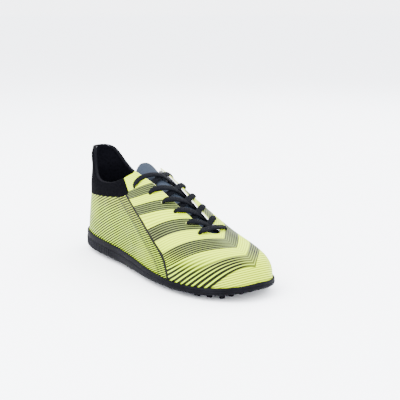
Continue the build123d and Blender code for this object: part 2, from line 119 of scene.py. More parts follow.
def station_at(x):
    return np.arccos(np.clip(-np.asarray(x, float) / HALF_LENGTH, -1, 1))


def centre_at(x):
    return smooth(CENTRE_Y, station_at(x))


def throat_half(x):
    return np.interp(x, [a for a, _ in THROAT], [b for _, b in THROAT])


def lean(x, z):
    fade = np.clip((SHAFT_FRONT - np.asarray(x, float)) / (SHAFT_FRONT + HALF_LENGTH), 0, 1) ** 1.3
    return smooth(HEEL_IN, z, HEEL_Z) * fade


def footprint(station, inset):
    """Distance along and half width of the feather line, moved inward by inset."""
    s = np.asarray(station, float)
    near = np.clip(s - 1e-4, 0, math.pi)
    far = np.clip(s + 1e-4, 0, math.pi)
    dx = -HALF_LENGTH * (np.cos(far) - np.cos(near))
    dw = smooth(HALF_WIDTH, far) - smooth(HALF_WIDTH, near)
    size = np.hypot(dx, dw)
    x = -HALF_LENGTH * np.cos(s) + inset * dw / size
    return x, np.maximum(smooth(HALF_WIDTH, s) - inset * dx / size, 0)


def rise_at(station, inset):
    full = smooth(RISE, station)
    return full * (1 - inset / np.maximum(full, 12.0))


def level_point(station, side, inset, z):
    """A point of the last's wall at a station and height, at a depth under the outside."""
    x, w = footprint(station, inset)
    n = smooth(FULLNESS, station)
    feather = smooth(FEATHER_Z, station)
    rise = np.maximum(rise_at(station, inset), 1e-6)
    up = np.clip((z - feather) / rise, 0, 1)
    y = smooth(CENTRE_Y, station) + side * w * (1 - up**n) ** (1 / n)
    return np.stack(np.broadcast_arrays(x + lean(x, z), y, np.asarray(z, float)), -1)


def surface_z(x, y, depth):
    s = station_at(x)
    n = smooth(FULLNESS, s)
    across = np.clip(np.abs(y - smooth(CENTRE_Y, s)) / (smooth(HALF_WIDTH, s) - depth), 0, 1)
    return smooth(FEATHER_Z, s) + rise_at(s, depth) * (1 - across**n) ** (1 / n)


def surface_point(x, y, depth):
    return np.stack(np.broadcast_arrays(x, y, surface_z(x, y, depth)), -1).astype(float)


def unit(v):
    return v / np.maximum(np.linalg.norm(v, axis=-1, keepdims=True), 1e-9)


def surface_normal(x, y):
    dx = (surface_z(x + 0.2, y, 0) - surface_z(x - 0.2, y, 0)) / 0.4
    dy = (surface_z(x, y + 0.2, 0) - surface_z(x, y - 0.2, 0)) / 0.4
    return unit(np.stack(np.broadcast_arrays(-dx, -dy, 1.0), -1))


def ease(low, high, value):
    t = np.clip((np.asarray(value, float) - low) / (high - low), 0, 1)
    return t * t * (3 - 2 * t)


# ------------------------------------------------------------------ meshes
def make_object(name, points, faces, attributes=None, weld=0.02):
    """A smooth-shaded mesh from points in millimetres, with float attributes on its points."""
    mesh = bpy.data.meshes.new(name)
    mesh.from_pydata((np.asarray(points) * MM).tolist(), [], [list(map(int, f)) for f in faces])
    for key, values in (attributes or {}).items():
        mesh.attributes.new(key, "FLOAT", "POINT").data.foreach_set("value", np.asarray(values, np.float32))
    piece = bpy.data.objects.new(name, mesh)
    bpy.context.scene.collection.objects.link(piece)
    work = bmesh.new()
    work.from_mesh(mesh)
    if weld:
        bmesh.ops.remove_doubles(work, verts=work.verts, dist=weld * MM)
    bmesh.ops.dissolve_degenerate(work, dist=1e-7, edges=work.edges)
    bmesh.ops.recalc_face_normals(work, faces=work.faces)
    work.to_mesh(mesh)
    work.free()
    mesh.polygons.foreach_set("use_smooth", [True] * len(mesh.polygons))
    return piece


def grid_faces(rows, columns, start=0, closed_rows=False, closed_columns=False):
    """Quads over a grid of points stored row by row."""
    i, j = np.meshgrid(np.arange(rows - (not closed_rows)), np.arange(columns - (not closed_columns)),
                       indexing="ij")
    i, j = i.ravel(), j.ravel()
    k, m = (i + 1) % rows, (j + 1) % columns
    return np.stack([i * columns + j, i * columns + m, k * columns + m, k * columns + j], -1) + start


def closed_sheet(name, shown, hidden):
    """A closed sheet between two grids of points, joined round their border."""
    rows, columns = shown.shape[:2]
    n = rows * columns
    faces = [list(f) for f in grid_faces(rows, columns)]
    faces += [[k + n for k in f[::-1]] for f in grid_faces(rows, columns)]
    first, last = [i * columns for i in range(rows)], [i * columns + columns - 1 for i in range(rows)]
    end = [(rows - 1) * columns + j for j in range(1, columns)]
    loop = first + end + last[-2::-1] + list(range(columns - 2, 0, -1))
    faces += [[p, q, q + n, p + n] for p, q in zip(loop, loop[1:] + loop[:1])]
    return make_object(name, np.concatenate([shown.reshape(-1, 3), hidden.reshape(-1, 3)]), faces)


def sweep(centres, sides, ups, outline):
    """A closed tube: at each centre an outline of (side, up) pairs, or one outline per centre."""
    outline = np.broadcast_to(outline, (len(centres),) + np.shape(outline)[-2:])
    points = (centres[:, None] + outline[..., :1] * sides[:, None] + outline[..., 1:] * ups[:, None])
    count = outline.shape[1]
    faces = list(grid_faces(len(centres), count, closed_columns=True))
    faces.append(list(range(count))[::-1])
    faces.append([(len(centres) - 1) * count + k for k in range(count)])
    return points.reshape(-1, 3), faces


def oval(width, thickness, count=14, squareness=2.6):
    t = np.arange(count) * 2 * math.pi / count
    c, s = np.cos(t), np.sin(t)
    return np.stack([np.sign(c) * np.abs(c) ** (2 / squareness) * width / 2,
                     np.sign(s) * np.abs(s) ** (2 / squareness) * thickness / 2], -1)


# ------------------------------------------------------------------ node materials
class Nodes:
    """A short way to write a node material."""

    def __init__(self, name):
        self.material = bpy.data.materials.new(name)
        self.material.use_nodes = True
        self.tree = self.material.node_tree
        self.shader = self.tree.nodes["Principled BSDF"]

    def put(self, socket, value):
        if isinstance(value, bpy.types.NodeSocket):
            self.tree.links.new(value, socket)
        elif isinstance(value, (tuple, list)) and len(value) == 3 and socket.type == "RGBA":
            socket.default_value = (*value, 1)
        else:
            socket.default_value = value

    def math(self, operation, *values):
        node = self.tree.nodes.new("ShaderNodeMath")
        node.operation = operation
        for socket, value in zip(node.inputs, values):
            self.put(socket, value)
        return node.outputs[0]

    def add(self, a, b):
        return self.math("ADD", a, b)

    def times(self, a, b):
        return self.math("MULTIPLY", a, b)

    def remap(self, value, low, high, to_low=0.0, to_high=1.0):
        node = self.tree.nodes.new("ShaderNodeMapRange")
        node.interpolation_type = "SMOOTHSTEP"
        for socket, entry in zip(node.inputs, (value, low, high, to_low, to_high)):
            self.put(socket, entry)
        return node.outputs[0]

    def mix(self, factor, a, b):
        node = self.tree.nodes.new("ShaderNodeMix")
        node.data_type = "RGBA"
        self.put(node.inputs[0], factor)
        self.put(node.inputs[6], a)
        self.put(node.inputs[7], b)
        return node.outputs[2]

    def attribute(self, name):
        node = self.tree.nodes.new("ShaderNodeAttribute")
        node.attribute_name = name
        return node.outputs["Fac"]

    def position(self):
        return self.tree.nodes.new("ShaderNodeTexCoord").outputs["Object"]

    def noise(self, scale, detail=2.0, roughness=0.5, vector=None):
        node = self.tree.nodes.new("ShaderNodeTexNoise")
        self.put(node.inputs["Vector"], vector or self.position())
        node.inputs["Scale"].default_value = scale
        node.inputs["Detail"].default_value = detail
        node.inputs["Roughness"].default_value = roughness
        return node.outputs["Fac"]

    def stretched(self, x, y, z):
        node = self.tree.nodes.new("ShaderNodeMapping")
        self.put(node.inputs["Vector"], self.position())
        node.inputs["Scale"].default_value = (x, y, z)
        return node.outputs[0]

    def cells(self, scale, vector=None):
        node = self.tree.nodes.new("ShaderNodeTexVoronoi")
        self.put(node.inputs["Vector"], vector or self.position())
        node.inputs["Scale"].default_value = scale
        return node.outputs["Distance"]

    def lines(self, value, pitch, dark, edge=0.16):
        """1 on lines across a value, one each pitch, covering the share dark of it."""
        wave = self.math("PINGPONG", self.math("DIVIDE", value, pitch), 0.5)
        half = dark / 2 if not isinstance(dark, bpy.types.NodeSocket) else self.times(dark, 0.5)
        low = self.math("SUBTRACT", half, edge / 2)
        return self.math("SUBTRACT", 1.0, self.remap(wave, low, self.add(low, edge)))

    def bump(self, height, distance, strength=1.0):
        node = self.tree.nodes.new("ShaderNodeBump")
        node.inputs["Strength"].default_value = strength
        node.inputs["Distance"].default_value = distance
        self.put(node.inputs["Height"], height)
        self.put(self.shader.inputs["Normal"], node.outputs[0])

    def finish(self, colour, roughness, **sockets):
        self.put(self.shader.inputs["Base Color"], colour)
        self.put(self.shader.inputs["Roughness"], roughness)
        for name, value in sockets.items():
            self.put(self.shader.inputs[name.replace("_", " ")], value)
        return self.material


# ------------------------------------------------------------------ shells on the last
WALL_ROWS = 4
ARCH_ROWS = 70
TOP_ROW = WALL_ROWS + ARCH_ROWS


def shell_point(s, a, inset):
    """A point of the last at station s and row a, which climbs the lateral wall, crosses the instep
    at TOP_ROW and goes down the medial wall."""
    side = np.where(a < TOP_ROW, -1.0, 1.0)
    climbed = TOP_ROW - np.abs(a - TOP_ROW)
    theta = np.clip((climbed - WALL_ROWS) / ARCH_ROWS, 0, 1) * math.pi / 2
    x, w = footprint(s, inset)
    n = smooth(FULLNESS, s)
    feather = smooth(FEATHER_Z, s)
    across = np.cos(theta) ** (2 / n)
    below = BOARD_DROP * np.clip(1 - climbed / WALL_ROWS, 0, 1)
    z = feather - below + rise_at(s, inset) * np.sin(theta) ** (2 / n)
    return np.stack([x + lean(x, z), smooth(CENTRE_Y, s) + side * w * across, z], -1)


def fit_to_edge(s, a, inset, field):
    """Moves the grid points beside the field's zero line onto it, and returns the field there."""
    value = field(shell_point(s, a, inset))
    best = np.full(s.shape, 9.0)
    new_s, new_a = s.copy(), a.copy()
    for axis in (0, 1):
        here = [slice(None, -1) if k == axis else slice(None) for k in (0, 1)]
        there = [slice(1, None) if k == axis else slice(None) for k in (0, 1)]
        for first, second in ((tuple(here), tuple(there)), (tuple(there), tuple(here))):
            f, g = value[first], value[second]
            share = np.where(f * g < 0, np.abs(f) / np.maximum(np.abs(f) + np.abs(g), 1e-9), 9.0)
            closer = (share <= 0.5) & (share < best[first])
            best[first] = np.where(closer, share, best[first])
            new_s[first] = np.where(closer, s[first] + share * (s[second] - s[first]), new_s[first])
            new_a[first] = np.where(closer, a[first] + share * (a[second] - a[first]), new_a[first])
    value = np.where(best <= 0.5, 0.0, value)
    return new_s, new_a, value


def shell(name, outer, inner, field, x_range=(-143, 143), spacing=1.3, puff=None, attributes=None,
          rim=0.45):
    """A closed skin between two depths of the last, cut where field is positive, with round rims."""
    first, last = station_at(x_range[0]), station_at(x_range[1])
    count = int((last - first) * HALF_LENGTH / spacing) + 2
    s, a = np.meshgrid(np.linspace(first, last, count), np.arange(2 * TOP_ROW + 1.0), indexing="ij")
    s, a, value = fit_to_edge(s, a, outer, field)
    columns = s.shape[1]
    quads = grid_faces(*s.shape)
    v = value.ravel()[quads]
    kept = [q for q, f in zip(quads, v) if f.max() <= 0 and f.min() < 0]
    for q, f in zip(quads, v):
        if f.max() > 0 and f.min() < 0 and (f == 0).sum() == 2:
            kept.append([k for k, e in zip(q, f) if e <= 0])
    raw = shell_point(s, a, outer).reshape(-1, 3)
    keys = np.round(raw / 0.02).astype(np.int64)
    _, index, merged = np.unique(keys, axis=0, return_index=True, return_inverse=True)
    merged = merged.ravel()
    faces = []
    for q in kept:
        corners = []
        for k in merged[list(q)]:
            if k not in corners:
                corners.append(int(k))
        if len(corners) > 2:
            faces.append(corners)
    used = np.unique(np.concatenate([np.array(f) for f in faces]))
    place = {int(k): i for i, k in enumerate(used)}
    faces = [[place[k] for k in f] for f in faces]
    flat_s, flat_a = s.ravel()[index][used], a.ravel()[index][used]
    plain = raw[index][used]
    lift = puff(plain) if puff else 0.0
    top = shell_point(flat_s, flat_a, outer - lift)
    bottom = shell_point(flat_s, flat_a, inner)
    edges = {}
    for f in faces:
        middle = top[f].mean(0)
        for p, q in zip(f, f[1:] + f[:1]):
            if edges.pop((q, p), None) is None:
                edges[p, q] = middle
    outward = np.zeros_like(top)
    for (p, q), middle in edges.items():
        away = (top[p] + top[q]) / 2 - middle
        run = unit(top[q] - top[p])
        away = unit(away - run * (away @ run))
        outward[p] += away
        outward[q] += away
    outward = unit(outward)
    border = sorted({k for pair in edges for k in pair})
    ring = {k: i for i, k in enumerate(border)}
    layers = [top, bottom]
    shares = (0.12, 0.5, 0.88)
    for share in shares:
        bulge = rim * (abs(inner - outer)) * math.sin(math.pi * share)
        layers.append(top[border] * (1 - share) + bottom[border] * share + outward[border] * bulge)
    n = len(top)
    out = [list(f) for f in faces] + [[k + n for k in f[::-1]] for f in faces]
    for p, q in edges:
        chain_p = [p] + [2 * n + m * len(border) + ring[p] for m in range(3)] + [p + n]
        chain_q = [q] + [2 * n + m * len(border) + ring[q] for m in range(3)] + [q + n]
        for m in range(4):
            out.append([chain_q[m], chain_p[m], chain_p[m + 1], chain_q[m + 1]])
    points = np.concatenate(layers)
    extra = {}
    for key, function in (attributes or {}).items():
        on_top = function(plain)
        extra[key] = np.concatenate([on_top, on_top] + [on_top[border]] * 3)
    if attributes is not None:
        extra["edge"] = np.concatenate([np.zeros(n), np.ones(n)] + [np.ones(len(border))] * 3)
    return make_object(name, points, out, extra, weld=0)


# Regions, as fields that are positive where the skin is cut away. OUTSIDE says that a cut is far off.
OUTSIDE = -9.0
COLLAR_FRONT_X = -30.0
INSTEP_Z = 46.0
EYELET_REACH = 8.0


def over_topline(p):
    slope = (along(TOPLINE, p[..., 0] + 0.5) - along(TOPLINE, p[..., 0] - 0.5))
    high = (p[..., 2] - along(TOPLINE, p[..., 0])) / np.sqrt(1 + slope**2)
    return np.where(p[..., 0] < COLLAR_FRONT_X, high, OUTSIDE)


def in_throat(p):
    """How far a point lies inside the throat's opening, seen from above."""
    x, y = p[..., 0], p[..., 1] - centre_at(p[..., 0])
    beside = throat_half(x) - np.abs(y)
    bend = THROAT_END - THROAT_END_HALF
    ahead = THROAT_END_HALF - np.hypot(x - bend, y)
    over_instep = (p[..., 2] > INSTEP_Z) & (x > THROAT[0][0])
    return np.where(over_instep, np.where(x > bend, ahead, beside), OUTSIDE)


def in_collar(p):
    """Signed distance, in side view, from the collar's lower and front edge."""
    x, z = p[..., 0], p[..., 2]
    best = np.full(x.shape, 1e9)
    for (x0, z0), (x1, z1) in zip(COLLAR_EDGE, COLLAR_EDGE[1:]):
        run = np.hypot(x1 - x0, z1 - z0)
        t = np.clip(((x - x0) * (x1 - x0) + (z - z0) * (z1 - z0)) / run**2, 0, 1)
        best = np.minimum(best, np.hypot(x - x0 - t * (x1 - x0), z - z0 - t * (z1 - z0)))
    inside = np.zeros(x.shape, bool)
    corners = COLLAR_EDGE + BEHIND_HEEL
    for (x0, z0), (x1, z1) in zip(corners, corners[1:] + corners[:1]):
        if z0 != z1:
            inside ^= ((z0 > z) != (z1 > z)) & (x < x0 + (x1 - x0) * (z - z0) / (z1 - z0))
    return np.where(inside, best, -best)


eyelet_places = []
for row_x in EYELET_X:
    for side in (LATERAL, MEDIAL):
        row_y = float(centre_at(row_x) + side * (throat_half(row_x) + EYELET_SETBACK))
        eyelet_places.append((row_x, side, surface_point(row_x, row_y, 0), surface_normal(row_x, row_y)))


def in_eyelet(p):
    gap = np.full(p.shape[:-1], 99.0)
    for _, _, place, normal in eyelet_places:
        d = p - place
        flat = d - (d @ normal)[..., None] * normal
        near = np.abs(d @ normal) < EYELET_REACH
        gap = np.minimum(gap, np.where(near, np.linalg.norm(flat, axis=-1), 99.0))
    return EYELET_RADIUS - gap


def upper_field(p):
    return np.maximum.reduce([over_topline(p), in_throat(p), in_collar(p), in_eyelet(p)])


def collar_field(p):
    return np.maximum(over_topline(p), -in_collar(p) - 0.9)


# ------------------------------------------------------------------ the print, as fields on the surface
PRINT_AT = [22, 34, 49, 61, 77, 93, 111, 125, 138]
PRINT_SWEEP = [0.30, 0.30, 0.30, 0.30, 0.33, 0.33, 0.22, 0.13, 0.15]
PRINT_CURVE = [0.0125, 0.0115, 0.0106, 0.0066, 0.0049, 0.0042, 0.0061, 0.0051, 0.0033]
SEAM_Z = [13, 22, 30, 37, 44.4, 53.4, 61.5, 68.8, 78.7]
SEAM_FRONT_X = [70, 67, 62, 54.6, 41, 24.9, 10, -5.6, -24.7]
SEAM_BACK_Z = [13, 20, 28, 34, 40.7, 48.9, 57, 65.9, 74.7]
SEAM_BACK_X = [53, 50, 42, 32, 20.6, 5.1, -11.2, -28.2, -44.5]


def arc_from_top(p):
    """How far a point lies down the side from the centre line, along the surface."""
    x = p[..., 0]
    s = station_at(x)
    n = smooth(FULLNESS, s)
    w = smooth(HALF_WIDTH, s)
    rise = smooth(RISE, s)
    across = np.clip(np.abs(p[..., 1] - smooth(CENTRE_Y, s)) / np.maximum(w, 1e-3), 0, 1)
    target = np.arccos(across ** (n / 2))
    steps = np.linspace(0, 1, 25)
    theta = math.pi / 2 - (math.pi / 2 - target[..., None]) * steps
    flat = w[..., None] * np.cos(theta) ** (2 / n[..., None])
    high = rise[..., None] * np.sin(theta) ** (2 / n[..., None])
    length = np.hypot(np.diff(flat, axis=-1), np.diff(high, axis=-1)).sum(-1)
    return length + np.clip(smooth(FEATHER_Z, s) - p[..., 2], 0, None)


def print_place(p):
    """Where the printed line through a point meets the centre line."""
    down = arc_from_top(p)
    medial = 0.6 * np.where(p[..., 1] > centre_at(p[..., 0]), down, 0)
    low, high = np.full(down.shape, -170.0), np.full(down.shape, 190.0)
    for _ in range(24):
        middle = (low + high) / 2
        reach = np.interp(middle, PRINT_AT, PRINT_SWEEP) * down
        reach = reach + np.interp(middle, PRINT_AT, PRINT_CURVE) * down**2 + medial
        over = middle - reach > p[..., 0]
        high = np.where(over, middle, high)
        low = np.where(over, low, middle)
    return (low + high) / 2


def seam_share(p):
    """0 at the quarter seam's back line and 1 at its front line."""
    back = np.interp(p[..., 2], SEAM_BACK_Z, SEAM_BACK_X)
    front = np.interp(p[..., 2], SEAM_Z, SEAM_FRONT_X)
    back = back + np.clip(p[..., 2] - SEAM_BACK_Z[-1], 0, None) * -1.9
    front = front + np.clip(p[..., 2] - SEAM_Z[-1], 0, None) * -1.9
    return (p[..., 0] - back) / (front - back)


def quarter_place(p):
    """Height of the quarter's slanted lines, which level out round the heel."""
    x, z = p[..., 0], p[..., 2]
    return z - 0.55 * x + 0.003 * (x + 90) * (z - 45)


def toe_place(p):
    """Height of the toe cap's lines, which fall from the nose back to the sole."""
    return p[..., 2] + 0.45 * (HALF_LENGTH - p[..., 0])


def seam_puff(p):
    share = seam_share(p)
    return 0.28 * ease(-0.03, 0.03, share) * (1 - ease(0.97, 1.03, share)) + 0.12 * ease(46, 20, p[..., 2])


print_fields = {"line_at": print_place, "down": arc_from_top, "seam": seam_share,
                "quarter": quarter_place, "toe": toe_place, "height": lambda p: p[..., 2]}
upper = shell("printed_upper", 0.0, 1.3, upper_field, puff=seam_puff, attributes=print_fields)


# ------------------------------------------------------------------ materials
YELLOW = (0.32, 0.48, 0.0)
YELLOW_TOP = (0.42, 0.55, 0.0)
OLIVE = (0.10, 0.13, 0.0)
INK = (0.002, 0.002, 0.001)
INK_TOP = (0.008, 0.010, 0.003)
ASH = (0.14, 0.18, 0.045)
PALE = (0.27, 0.35, 0.02)
LINE_PITCH = 2.7
QUARTER_PITCH = 3.4
TOE_PITCH = 2.4
BANDS = [(8, 22.5), (34, 49), (61, 77.3), (92.9, 111.3), (124.7, 138)]
TOE_CAP_AT = 138
STRIP_BACK = 0.13
STRIP_FRONT = 0.86
SEAM_LINES = ((0.0, 0.030), (STRIP_BACK, 0.026), (1.0, 0.045))
CUT_EDGE = (0.40, 0.46, 0.10)


def printed_upper():
    n = Nodes("printed_upper")
    line_at, down, seam = n.attribute("line_at"), n.attribute("down"), n.attribute("seam")
    quarter, height = n.attribute("quarter"), n.attribute("height")
    grain = n.noise(90, 3)
    wander = n.times(n.add(grain, -0.5), 0.2)
    place = n.add(line_at, wander)
    band = 0.0
    for low, high in BANDS:
        inside = n.times(n.math("GREATER_THAN", place, low), n.math("LESS_THAN", place, high))
        band = n.math("MAXIMUM", band, inside)
    low_side = n.remap(height, 50, 24)
    front_lines = n.lines(place, LINE_PITCH, n.remap(low_side, 0, 1, 0.80, 0.68))
    thin_lines = n.lines(place, LINE_PITCH, n.remap(low_side, 0, 1, 0.42, 0.64))
    ground = n.mix(low_side, YELLOW_TOP, YELLOW)
    ink = n.mix(n.remap(height, 66, 42), INK_TOP, INK)
    band_ground = n.mix(n.remap(height, 54, 26), ASH, PALE)
    band_ground = n.mix(n.remap(height, 40, 22), band_ground, YELLOW)
    dark_band = n.mix(n.times(front_lines, n.remap(down, 2, 16, 0.8, 1.0)), band_ground, ink)
    thin_ink = n.mix(low_side, OLIVE, INK)
    light_band = n.mix(n.times(thin_lines, n.remap(low_side, 0, 1, 0.55, 1.0)), ground, thin_ink)
    front = n.mix(band, light_band, dark_band)
    toe = n.remap(place, TOE_CAP_AT, TOE_CAP_AT + 1)
    toe_ink = n.mix(n.remap(height, 34, 20), OLIVE, (0.05, 0.06, 0.005))
    toe_lines = n.lines(n.attribute("toe"), TOE_PITCH, 0.50)
    front = n.mix(toe, front, n.mix(n.times(toe_lines, 0.8), YELLOW_TOP, toe_ink))
    hatch = n.lines(n.add(quarter, wander), QUARTER_PITCH, n.remap(height, 70, 24, 0.70, 0.72))
    heel_ink = n.mix(n.remap(height, 30, 66), INK, INK_TOP)
    soft = n.remap(n.noise(16, 1), 0.50, 0.62)
    heel_ink = n.mix(n.times(soft, 0.35), heel_ink, OLIVE)
    heel = n.mix(hatch, n.mix(n.remap(height, 56, 70), YELLOW, PALE), heel_ink)
    strip_ground = n.mix(n.remap(height, 66, 40), PALE, YELLOW)
    strip = n.mix(n.lines(quarter, QUARTER_PITCH, 0.76), strip_ground, INK)
    past_back = n.math("GREATER_THAN", seam, STRIP_BACK)
    inside_strip = n.times(past_back, n.math("LESS_THAN", seam, STRIP_FRONT))
    colour = n.mix(past_back, heel, n.mix(inside_strip, INK, strip))
    colour = n.mix(n.math("GREATER_THAN", seam, 1.0), colour, front)
    edge_line = 0.0
    for where, half in SEAM_LINES:
        gap = n.math("ABSOLUTE", n.math("SUBTRACT", seam, where))
        edge_line = n.math("MAXIMUM", edge_line, n.remap(gap, half * 1.4, half * 0.8))
    colour = n.mix(edge_line, colour, INK)
    colour = n.mix(n.attribute("edge"), colour, CUT_EDGE)
    knit_relief = n.cells(620, n.stretched(1, 1, 1.5))
    n.bump(n.add(n.times(knit_relief, 0.5), n.times(front_lines, 0.5)), 0.00014, 0.5)
    return n.finish(colour, n.remap(grain, 0.3, 0.7, 0.46, 0.58), Specular_IOR_Level=0.06)


def knit(name, colour, light, scale=700, sheen=0.25, rough=0.85, distance=0.0003):
    """A fine knit: staggered loops in two tones."""
    n = Nodes(name)
    loops = n.cells(scale, n.stretched(1.0, 1.0, 0.62))
    cloud = n.noise(60, 3)
    tone = n.mix(n.remap(loops, 0.1, 0.6), colour, light)
    tone = n.mix(n.times(cloud, 0.35), tone, colour)
    n.bump(n.math("SUBTRACT", 1.0, loops), distance, 0.7)
    return n.finish(tone, rough, Sheen_Weight=sheen, Sheen_Roughness=0.5, Specular_IOR_Level=0.01)


def rubber(name, colour, light, rough=0.62):
    n = Nodes(name)
    cloud = n.noise(45, 4, 0.6)
    grain = n.noise(1500, 2)
    tone = n.mix(n.remap(cloud, 0.35, 0.7), colour, light)
    n.bump(n.add(n.times(grain, 0.7), n.times(cloud, 0.3)), 0.0002, 0.35)
    return n.finish(tone, n.remap(cloud, 0.3, 0.7, rough - 0.08, rough + 0.08), Specular_IOR_Level=0.02)


def foam(name, colour, light):
    n = Nodes(name)
    pores_and_pore_shade = n.cells(900)
    n.bump(pores_and_pore_shade, 0.0003, 0.6)
    # The pits of the pores take the dark colour: painted shade in the pores.
    return n.finish(n.mix(pores_and_pore_shade, colour, light), 0.9)


def sheet_stock(name, colour, light, rough=0.7):
    n = Nodes(name)
    fibre = n.noise(500, 4, 0.7, n.stretched(1, 3, 3))
    n.bump(fibre, 0.0002, 0.4)
    return n.finish(n.mix(fibre, colour, light), rough)


def braid(name, colour, light):
    """A woven lace: a herringbone of slanted yarns, from the lace's own length and girth, with painted shade
    in the grooves between the yarns.
    """
    n = Nodes(name)
    length, girth = n.attribute("length"), n.attribute("girth")
    slant = n.times(n.math("PINGPONG", girth, 0.25), 5.0)
    yarn = n.math("PINGPONG", n.math("DIVIDE", n.add(length, slant), 0.95), 0.5)
    ridge_and_groove_shade = n.remap(yarn, 0.04, 0.42)
    # The yarn ridges take the light colour and the grooves between them the dark one: painted shade.
    tone = n.mix(ridge_and_groove_shade, colour, light)
    tone = n.mix(n.times(n.noise(300, 2), 0.4), tone, colour)
    n.bump(ridge_and_groove_shade, 0.00035, 0.8)
    return n.finish(tone, 0.78, Specular_IOR_Level=0.04)


materials = {
    "upper_print": printed_upper(),
    "collar_knit": knit("collar_knit", (0.0004, 0.0004, 0.0007), (0.0012, 0.0012, 0.0018), 700, 0.0),
    "collar_inside": knit("collar_inside", (0.0008, 0.0008, 0.0012), (0.002, 0.002, 0.003), 520, 0.0, 0.95),
    "collar_rim": knit("collar_rim", (0.001, 0.001, 0.0016), (0.003, 0.003, 0.004), 900, 0.0, 0.6, 0.00012),
    "tongue_face": knit("tongue_face", (0.013, 0.017, 0.025), (0.022, 0.028, 0.038), 900, 0.0, 0.6, 0.00015),
    "tongue_inside": knit("tongue_inside", (0.010, 0.010, 0.013), (0.020, 0.020, 0.024), 500, 0.03, 0.9),
    # The lace's first colour is the painted shade in the grooves between the yarns, the second its ridges.
    "lace_cord": braid("lace_cord", (0.0006, 0.0008, 0.0015), (0.0035, 0.004, 0.006)),
    "sole_rubber": rubber("sole_rubber", (0.0018, 0.0018, 0.0026), (0.0045, 0.0045, 0.006)),
    # The foams' first colour is the painted shade in their pore pits.
    "midsole_foam": foam("midsole_foam", (0.05, 0.05, 0.055), (0.09, 0.09, 0.10)),
    "board": sheet_stock("board", (0.62, 0.60, 0.54), (0.82, 0.80, 0.73)),
    "thread": sheet_stock("thread", (0.70, 0.70, 0.66), (0.88, 0.88, 0.84)),
    "sock_foam": foam("sock_foam", (0.08, 0.08, 0.09), (0.16, 0.16, 0.17)),
    "sock_fabric": knit("sock_fabric", (0.012, 0.012, 0.015), (0.034, 0.034, 0.040), 600, 0.3, 0.9),
    "lining_white": knit("lining_white", (0.10, 0.10, 0.105), (0.20, 0.20, 0.21), 450, 0.2, 0.9),
    "stiff_plastic": sheet_stock("stiff_plastic", (0.22, 0.22, 0.23), (0.34, 0.34, 0.35), 0.5),
    "backing_white": sheet_stock("backing_white", (0.74, 0.75, 0.74), (0.90, 0.91, 0.90)),
    "aglet_film": rubber("aglet_film", (0.010, 0.010, 0.012), (0.020, 0.020, 0.024), 0.22),
}
slot_of = {part["node"]: part["material_slot"] for part in frame["record"]["subparts"]}


def dress(piece, slot, body, *nodes):
    """Gives a piece its material, its body and the CAD nodes that it stands for."""
    piece.data.materials.clear()
    piece.data.materials.append(materials[slot])
    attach(piece, body)
    if nodes:
        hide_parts(*nodes)
    return piece


for node, part in frame["nodes"].items():
    part.data.materials.clear()
    part.data.materials.append(materials[slot_of[node]])

# ------------------------------------------------------------------ laces
TAIL_ROUTES = {
    "lateral": [(-0.02117, -0.03087, 0.07614), (-0.024, -0.0315, 0.066), (-0.028, -0.031, 0.053),
                (-0.035, -0.0282, 0.0405), (-0.045, -0.0235, 0.0305), (-0.057, -0.0196, 0.0253),
                (-0.0695, -0.018, 0.0252), (-0.082, -0.0182, 0.0256), (-0.093, -0.019, 0.026),
                (-0.103, -0.0189, 0.0264), (-0.1103, -0.0162, 0.0267), (-0.1149, -0.010, 0.0269),
                (-0.1147, -0.0024, 0.0269), (-0.110, 0.0034, 0.0268), (-0.1023, 0.0052, 0.0265),
                (-0.093, 0.0026, 0.0261), (-0.0835, -0.0028, 0.0257), (-0.0735, -0.0073, 0.0253),
                (-0.0625, -0.0092, 0.0249)],
    "medial": [(-0.02154, 0.01845, 0.07614), (-0.025, 0.0195, 0.066), (-0.030, 0.0198, 0.053),
               (-0.037, 0.0192, 0.0405), (-0.0465, 0.0196, 0.0305), (-0.057, 0.0209, 0.0253),
               (-0.0675, 0.0216, 0.0252), (-0.076, 0.0203, 0.0254), (-0.0816, 0.0152, 0.0256),
               (-0.0824, 0.008, 0.0256), (-0.0786, 0.002, 0.0255), (-0.0715, -0.0002, 0.0253),
               (-0.062, 0.0012, 0.0249), (-0.0515, 0.0042, 0.0244), (-0.041, 0.007, 0.0239),
               (-0.0305, 0.0083, 0.0234), (-0.0195, 0.0074, 0.0229), (-0.009, 0.0046, 0.0223)],
}
TAIL_WIDTH = 4.2
TAIL_THICK = 1.7
TAIL_AT_EYELET = (2.9, 2.4)
TAIL_IN_AGLET = 3.0
TAIL_STEP = 1.2
RIBBON_SIDES = 16


def route_line(name, route):
    """Points along the NURBS spline whose control points are the route."""
    curve = bpy.data.curves.new(name, "CURVE")
    curve.dimensions = "3D"
    curve.resolution_u = 8
    spline = curve.splines.new("NURBS")
    spline.points.add(len(route) - 1)
    for point, place in zip(spline.points, route):
        point.co = (*place, 1)
    spline.order_u = 3
    spline.use_endpoint_u = True
    holder = bpy.data.objects.new(name, curve)
    line = bpy.data.meshes.new_from_object(holder)
    points = np.array([v.co for v in line.vertices])
    bpy.data.objects.remove(holder)
    keep = np.append(True, np.linalg.norm(np.diff(points, axis=0), axis=1) > 1e-6)
    return points[keep]


def ribbon(name, points, sides, widths, thicks):
    """A flat woven lace along points, in millimetres, with its own length and girth as attributes."""
    tangents = unit(np.gradient(points, axis=0))
    sides = unit(sides - (sides * tangents).sum(-1, keepdims=True) * tangents)
    ups = np.cross(tangents, sides)
    base = oval(1, 1, RIBBON_SIDES)
    outline = base[None] * np.stack([widths, thicks], -1)[:, None]
    mesh_points, faces = sweep(points, sides, ups, outline)
    run = np.append(0, np.cumsum(np.linalg.norm(np.diff(points, axis=0), axis=1)))
    print_at = {"length": np.repeat(run, RIBBON_SIDES),
                "girth": np.tile(np.arange(RIBBON_SIDES) / RIBBON_SIDES, len(points))}
    return make_object(name, mesh_points, faces, print_at, weld=0)


